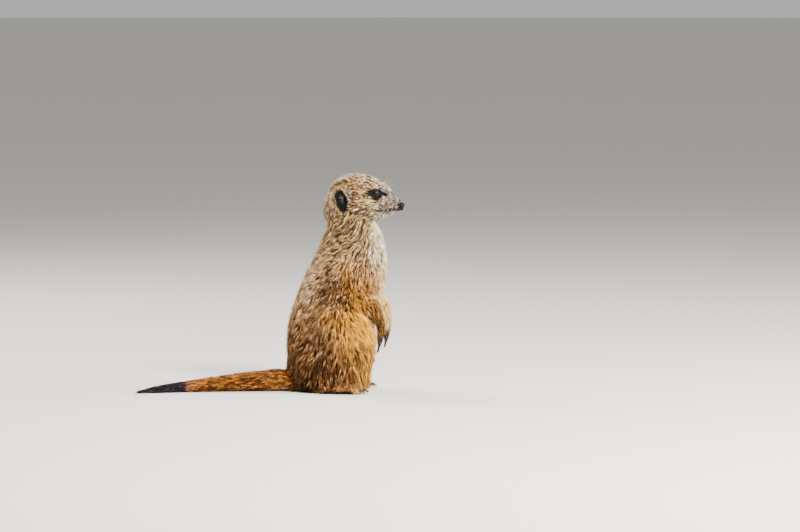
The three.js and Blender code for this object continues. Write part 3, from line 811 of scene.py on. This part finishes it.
for name, side in (("right", -1), ("left", 1)):
    hand_claws, foot_claws = [], []
    for number, (finger, toe) in enumerate(zip(finger_shares, toe_reaches)):
        shift = (number - 1.5) * finger_gap
        root = (hand_place[0] + side * arm_reach - 0.9, side * (hand_place[1] - shift * 1.25),
                hand_place[2] + side * arm_lift - finger_length * finger)
        hand_claws.append(horn(root, (0.16, 0, -1), (-3, 0, 0.6), 5.6, 1.05))
        shift = (number - 1.5) * toe_gap
        root = (foot_place[0] + side * foot_reach + toe,
                side * (foot_place[1] + shift * 1.12), foot_place[2])
        foot_claws.append(horn(root, (1, 0, 0.05), (-0.4, 0, -3.2), 6.5, 1.1))
    for limb, claws in (("hand", hand_claws), ("foot", foot_claws)):
        points, triangles = joined_tubes(claws)
        piece = mesh_object(f"{limb}_claws_{name}", placed(points), triangles)
        ridden(piece, claw_look, "claw", *[f"{limb}_claw_{name}_{n}" for n in range(1, 5)])

# ------------------------------------------------------------------ coat
# Thousands of thin locks rooted in the hide, each a closed spindle of six faces that rises from its
# root and bends over to lie along the body. Neighbouring locks lean together in bundles.
def down_the_body(p, share):
    """Which way the hair points at each point of the hide.

    Each part has its own direction, and they are mixed by how far the point is on each part: away
    from the nose on the head, down and back over the trunk, down and forward over the thighs,
    along the line of the arms, feet and tail.
    """
    part = dict(zip(kinds, share.T))
    x, y, z = p.T
    side = np.sign(y)
    zero, one = np.zeros(len(p)), np.ones(len(p))
    front = forwardness(p)

    def leaning(degrees):
        """Straight down, turned towards the back by this many degrees."""
        lean = np.radians(degrees)
        return np.stack([-np.sin(lean), zero, -np.cos(lean)], 1)

    trunk_lean = 26 + 32 * ramp(z, 92, 150) - 30 * ramp(z, 165, 200)
    trunk = leaning(trunk_lean * (1 - ramp(front, 0.4, 0.95)) - 6 * ramp(front, 0.8, 1.0))
    thigh = leaning(20 - 48 * ramp(x, 46, 108))
    bend = ramp(x, 92, 122)[:, None]
    forearm = (1 - bend) * (0.94, 0, -0.35) + bend * (0.1, 0, -1)
    head = unit(p - (150, 0, 214)) + ramp(-x, -84, -60)[:, None] * (-0.2, 0, -1.6)
    head = head + (ramp(-z, -210, -198) * (1 - ramp(x, 100, 112)))[:, None] * (0, 0, -0.5)
    for eye_side in (-1, 1):
        centre, out = eye_frame(eye_side)[:2]
        local = p - centre
        radial = local - (local @ out)[:, None] * out
        round_eye = np.exp(-(np.linalg.norm(local, axis=1) / 7.0) ** 4)
        head = head + 1.6 * round_eye[:, None] * unit(radial)
    along = (30 - x) / 185
    tail = np.stack([-one, -0.36 * along, -0.06 * one], 1)
    flow = ((part["neck"] + part["chest"] + part["belly"] + part["rump"])[:, None] * trunk
            + part["haunch"][:, None] * thigh + part["shank"][:, None] * (0.2, 0, -1)
            + part["foot"][:, None] * (1, 0, -0.2)
            + part["upper_arm"][:, None] * np.stack([0.2 * one, 0.12 * side, -one], 1)
            + part["forearm"][:, None] * forearm + part["hand"][:, None] * (-0.1, 0, -1)
            + (part["head"] + part["muzzle"] + part["lower_jaw"])[:, None] * head
            + part["ear"][:, None] * (-0.5, 0, 0.6)
            + (part["tail_base"] + part["tail_middle"] + part["tail_tip"])[:, None] * tail)
    return flow


def on_surface(vectors, normals):
    """The part of each vector that lies along the surface, at length one."""
    return unit(vectors - (vectors * normals).sum(1, keepdims=True) * normals)


flow = on_surface(down_the_body(hide, share), hide_normals)
flow = on_surface(smoothed(flow, links, 10), hide_normals)
soft_normals = unit(smoothed(hide_normals, links, 4))
# How fast the hide curves away along the hair: the turn of the normal over the step, edge by edge.
pairs = links[0]
step = hide[pairs[:, 1]] - hide[pairs[:, 0]]
turn = soft_normals[pairs[:, 1]] - soft_normals[pairs[:, 0]]
square = (step ** 2).sum(1)
weight = (step * flow[pairs[:, 0]]).sum(1) ** 2 / square
bend = summed_at(pairs[:, 0], np.stack([weight * (turn * step).sum(1) / square, weight], 1), len(hide))
bend = np.clip(smoothed(bend[:, :1] / np.maximum(bend[:, 1:], 1e-9), links, 8)[:, 0], -0.02, 0.09)
bend = bend * (1 - fringe)
fields = np.hstack([hide, soft_normals, flow, depth[:, None], length[:, None], width[:, None],
                    bend[:, None], share])

# A lock's five corners are its root, the three of its thick ring and its tip.
lock_faces = np.array([[1, 2, 4], [2, 3, 4], [3, 1, 4], [2, 1, 0], [3, 2, 0], [1, 3, 0]])
root_sink, floor_gap = 0.35, 0.12     # mm that a root stands in the hide, and a lock over the floor
lock_patch = np.array([[0, -0.5], [-0.5, 0], [0.5, 0], [0.06, 0.08], [0, 0.5]]) * 0.003
coat_material = coat_look("coat_hair", 0.5, 0.12)


def gathered(rng, root, lie, area, wide, stretch):
    """Gathers roots into bundles `wide` across and `stretch` times as long, that run along the coat.

    Bundle middles are drawn at random from the roots, and each root joins the nearest one, with
    the distance along the hair divided by `stretch`: |d|^2 - (1 - 1 / stretch^2) (d.lie)^2.
    """
    middles = rng.choice(len(root), max(1, int(area / (wide * wide * stretch))), replace=False)
    corners, less = root[middles].astype(np.float32), 1 - 1 / stretch ** 2
    squares = (corners ** 2).sum(1)
    own = (root * lie).sum(1).astype(np.float32)
    group = []
    for i in range(0, len(root), block_size):
        block = slice(i, i + block_size)
        along = own[block, None] - lie[block].astype(np.float32) @ corners.T
        across = root[block].astype(np.float32) @ corners.T
        group.append(np.argmin(squares - 2 * across - less * along ** 2, 1))
    group = np.concatenate(group)
    return group, middles[group], len(middles)


def coat_piece(name, slot, chosen, count, unwrap, seed, wide, stretch=1.7, contrast=2.0, patchy=0.7):
    """One piece of coat, rooted in the chosen triangles of the hide.

    Roots are spread evenly by area over length times width. A lock's path is an arc that follows
    the bend of the hide, raised by the depth of the coat towards its tip. Locks gather sideways
    into bundles `wide` mm across, high in their middle. `contrast` is how much their brightness
    varies, and `patchy` the share of locks whose tip is pale or dark as their whole bundle's is.
    Root dark, middle the coat's colour, tip pale or dark.
    """
    rng = np.random.default_rng(seed)
    corners = faces[chosen]
    a, b, c = hide[corners[:, 0]], hide[corners[:, 1]], hide[corners[:, 2]]
    area = np.linalg.norm(np.cross(b - a, c - a), axis=1) / 2
    reach = np.cumsum(area / (length[corners].mean(1) * width[corners].mean(1)))
    spots = (np.arange(count) + rng.random(count)) / count * reach[-1]
    at = corners[np.minimum(np.searchsorted(reach, spots), len(corners) - 1)]
    u, v = rng.random(count), rng.random(count)
    over = u + v > 1
    u, v = np.where(over, 1 - u, u), np.where(over, 1 - v, v)
    mixed = (fields[at[:, 0]] * (1 - u - v)[:, None] + fields[at[:, 1]] * u[:, None]
             + fields[at[:, 2]] * v[:, None])
    root, normal, lie = mixed[:, :3], unit(mixed[:, 3:6]), mixed[:, 6:9]
    rise, reach_mm, broad, curve = mixed[:, 9:13].T
    here = mixed[:, 13:]
    fringed = on_part(here, "haunch") * ramp(root[:, 0], 84, 100)
    stray = rng.random(count) < 0.07 + 0.08 * fringed
    lie = on_surface(lie, normal)
    across = np.cross(normal, lie)

    bundle, centre, bundles = gathered(rng, root, lie, area.sum(), wide, stretch)
    strand, _, strands = gathered(rng, root, lie, area.sum(), wide * 0.6, stretch * 0.9)
    aside = ((root - root[centre]) * across).sum(1)
    edge = np.clip(np.abs(aside) / (wide * 0.6), 0, 1.2) ** 2
    angle = (rng.normal(0, 0.22, bundles)[bundle] + rng.normal(0, 0.12, strands)[strand]
             + rng.normal(0, 0.08, count))
    lie = lie * np.cos(angle)[:, None] + across * np.sin(angle)[:, None]
    reach_share = 1 + rng.normal(0, 0.1, bundles)[bundle] + rng.normal(0, 0.17, count)
    long = reach_mm * np.clip(reach_share, 0.5, 1.45)
    rise_share = (0.95 + rng.normal(0, 0.14, bundles)[bundle] - 0.4 * edge
                  + rng.normal(0, 0.16, count))
    high = rise * np.clip(rise_share, 0.3, 1.3)
    high = high * np.where(stray, 1.45, 1.0)
    calm = on_part(here, "muzzle") + 1.3 * on_part(here, "haunch") * ramp(root[:, 0], 74, 100)
    # Each lock's brightness varies at random by bundle, strand and lock; locks towards a bundle's edges are
    # darker still, painted shade in the gaps between bundles.
    shade = (rng.normal(0, 0.3, bundles)[bundle] + rng.normal(0, 0.26, strands)[strand]
             + rng.normal(0, 0.14, count) - 0.6 * edge + 0.04)
    tone = np.exp((contrast * (1 - 0.4 * calm) * shade)[:, None] * (0.9, 1.0, 1.12))
    together = rng.random(count) < patchy
    draw = np.where(together, rng.random(bundles)[bundle], rng.random(strands)[strand])
    dark = draw < dark_share(root, here)

    def on_path(share_of_length, height):
        """A point on the arc that bends with the hide, at a height above it."""
        turned = curve * long * share_of_length
        safe = np.where(np.abs(turned) < 1e-4, 1e-4, turned)
        forward = long * share_of_length * np.sin(safe) / safe
        drop = long * share_of_length * (1 - np.cos(safe)) / safe
        up = normal * np.cos(safe)[:, None] + lie * np.sin(safe)[:, None]
        return root + lie * forward[:, None] - normal * drop[:, None] + up * height[:, None]

    base = root - normal * root_sink
    middle = on_path(0.42, high * 0.68)
    tip = on_path(1.0, high)
    tip = tip + 0.7 * across * ((tip[centre] - tip) * across).sum(1, keepdims=True)
    middle = middle + 0.4 * across * ((middle[centre] - middle) * across).sum(1, keepdims=True)
    line = unit(tip - base)
    across = unit(np.cross(normal, line))
    above = np.cross(line, across)
    half = (broad * (0.4 + 0.2 * rng.random(count)))[:, None]
    ring = [middle - across * half, middle + across * half, middle + above * half * 0.9]
    points = np.stack([base, *ring, tip], 1)
    points[..., 2] = np.maximum(points[..., 2], floor_gap)

    # colours along the lock
    colour = markings_and_painted_light(root, here)
    black = 1 - ramp(colour.sum(1, keepdims=True), 0.03, 0.12)
    tone = tone ** (1 - 0.8 * black)
    # Pale tips are the hairs' own pale band, with pinkish white added on the paler coats as a painted
    # highlight.
    pale_tip_and_glint = colour * 1.2 + linear(0xFBDAB6) * 0.3 * ramp(colour.sum(1, keepdims=True), 0.1, 0.5)
    dark_tip = colour * 0.12 + linear(0x46240F) * 0.5 * (1 - black)
    tip_colour = np.where(dark[:, None], dark_tip, pale_tip_and_glint) * tone
    bright = 0.75 + 0.2 * ramp(colour.sum(1), 0.9, 1.6)
    body = colour * tone * np.where(dark, 0.42, bright)[:, None]
    # The ring's top corner is a tenth brighter than its two side corners: a painted highlight along the top
    # of each lock.
    tints = np.stack([colour * 0.16, body, body, body * 1.1, tip_colour], 1)
    tints = tints * 0.92 / np.maximum(tints.max(2, keepdims=True), 0.92)

    corner = (lock_faces[None] + 5 * np.arange(count)[:, None, None]).reshape(-1, 3)
    piece = mesh_object(name, placed(points.reshape(-1, 3)), corner)
    paint(piece, "coat_colour", tints.reshape(-1, 3))

    # the unwrap: each lock is a patch three thousandths across at its root's place on the hide
    place = unwrap(root)
    place = 0.01 + 0.98 * (place - place.min(0)) / (place.max(0) - place.min(0))
    maps = (place[:, None, :] + lock_patch[None]).reshape(-1, 2)
    layer = piece.data.uv_layers.new(name="OFBake")
    layer.data.foreach_set("uv", maps[corner.ravel()].astype(np.float32).ravel())
    ridden(piece, coat_material, slot)


def round_upright(centre_x, centre_y=0.0):
    """Unwrap round an upright line: the angle about it, and the height."""
    def place(p):
        return np.stack([np.arctan2(p[:, 1] - centre_y, p[:, 0] - centre_x), p[:, 2]], 1)
    return place


def round_level(centre_z):
    """Unwrap round a level line from back to front: the angle about it, and the distance along."""
    def place(p):
        return np.stack([np.arctan2(p[:, 1], p[:, 2] - centre_z), p[:, 0]], 1)
    return place


def in_pairs(centre_x, half_gap):
    """Right and left side by side, each unwrapped round its own upright line in its own half."""
    right, left = round_upright(centre_x, -half_gap), round_upright(centre_x, half_gap)

    def place(p):
        a, b = right(p), left(p)
        a = (a - a[p[:, 1] < 0].min(0)) / np.ptp(a[p[:, 1] < 0], axis=0)
        b = (b - b[p[:, 1] >= 0].min(0)) / np.ptp(b[p[:, 1] >= 0], axis=0)
        a[:, 0], b[:, 0] = a[:, 0] * 0.48, b[:, 0] * 0.48 + 0.52
        return np.where(p[:, 1:2] < 0, a, b)
    return place


bare_round_eye, bare_round_nose = 4.1, 3.95   # mm from their middles with no locks
face_kind = hide_kind[faces[:, 0]]
face_middle = hide[faces].mean(1)
nose_gap = np.linalg.norm((face_middle - nose_place) / (1.0, 1.15, 1.0), axis=1)
on_ball = np.zeros(len(faces), bool)
for side in (-1, 1):
    centre, out = eye_frame(side)[:2]
    local = face_middle - centre
    gap = np.linalg.norm(local - (local @ out)[:, None] * out, axis=1)
    on_ball |= (gap < bare_round_eye) & (local @ out > 0)


def faces_of(*names):
    """Which triangles of the hide belong to the named parts."""
    return np.isin(face_kind, [kinds.index(n) for n in names])


skull = faces_of("head", "muzzle", "lower_jaw") & (nose_gap > bare_round_nose) & ~on_ball
ahead_of_ears = face_middle[:, 0] > 103
coat_piece("coat_face", "cream_coat", skull & ahead_of_ears, 27000, round_level(214),
           seed=11, wide=2.2, stretch=1.0, contrast=3.6, patchy=0.4)
coat_piece("coat_crown", "grizzled_coat", skull & ~ahead_of_ears, 28000, round_level(214),
           seed=12, wide=2.1, stretch=1.0, contrast=3.0, patchy=0.3)
coat_piece("coat_ears", "black_coat", faces_of("ear"), 7000, in_pairs(75.4, 20), seed=13, wide=0.8)
coat_piece("coat_neck", "pale_coat", faces_of("neck"), 24000, round_upright(90),
           seed=14, wide=1.9, contrast=2.5)
coat_piece("coat_chest", "grizzled_coat", faces_of("chest"), 30000, round_upright(82),
           seed=15, wide=1.7, stretch=1.6, contrast=2.7, patchy=0.5)
coat_piece("coat_flanks", "back_coat", faces_of("belly"), 26000, round_upright(66),
           seed=16, wide=1.8, stretch=1.6, contrast=2.6, patchy=0.6)
coat_piece("coat_rump", "back_coat", faces_of("rump"), 20000, round_upright(62),
           seed=17, wide=1.9, contrast=2.3)
coat_piece("coat_thighs", "golden_coat", faces_of("haunch"), 26000, in_pairs(76, 26),
           seed=18, wide=1.9, contrast=2.3)
coat_piece("coat_arms", "golden_coat", faces_of("upper_arm", "forearm"), 21000, in_pairs(96, 22),
           seed=19, wide=1.4)
coat_piece("coat_paws", "cream_coat", faces_of("shank", "foot", "hand"), 20000, in_pairs(92, 36),
           seed=20, wide=1.3)
coat_piece("coat_tail", "rufous_coat", faces_of("tail_base", "tail_middle", "tail_tip"), 21000,
           round_level(8), seed=21, wide=1.5, contrast=2.4)

# ------------------------------------------------------------------ whiskers
# Fine stiff hairs, rooted deep in the skin: three over each brow and three rows of four on each
# side of the upper lip. Each is a thin tapered tube that droops towards its tip.
whisker_look, whisker_tree, whisker_shader = new_material("whisker", 0xB9A68C, 0.4, 0.5)
clouded(whisker_tree, whisker_shader, 0x6A5A48, 0xC8B89C, 300.0)


def whisker(root, out, droop, length, radius):
    """A hair that thins along root + length t out + t^2 droop."""
    t = np.concatenate([[-0.06], np.linspace(-0.04, 1, 9), [1.01]])[:, None]
    path = np.asarray(root) + length * t * unit(np.asarray(out, float)) + t * t * np.asarray(droop, float)
    thin = radius * (1.02 - 0.85 * np.clip(t[:, 0], 0, 1))
    return tube(path, np.array([0, 0.3, 1.0]), thin, thin, 5)


draw = np.random.default_rng(31)
hairs = []
for side in (-1, 1):
    for n in range(3):
        root = (122.0 + 2.2 * n, side * (10.5 - 1.4 * n), 233.0 - 2.2 * n)
        out = (0.5 + 0.2 * n, side * (0.5 - 0.06 * n), 1.0 - 0.15 * n)
        hairs.append(whisker(root, out, (1.5, side * 0.6, -0.8), 8.0 + 2.5 * draw.random(), 0.13))
    for row in range(3):
        for n in range(4):
            root = (136.5 - 3.6 * n - row, side * (7.2 + 1.15 * n + 0.3 * row), 209.4 - 1.5 * row - 0.5 * n)
            out = (0.25 - 0.2 * n, side, -0.16 - 0.12 * row)
            droop, reach = (-2.5, side * -0.8, -2.2), 8 + 2.5 * n + 2 * draw.random()
            hairs.append(whisker(root, out, droop, reach, 0.14))
points, triangles = joined_tubes(hairs)
whiskers = mesh_object("whiskers", placed(points), triangles)
ridden(whiskers, whisker_look, "cream_coat")
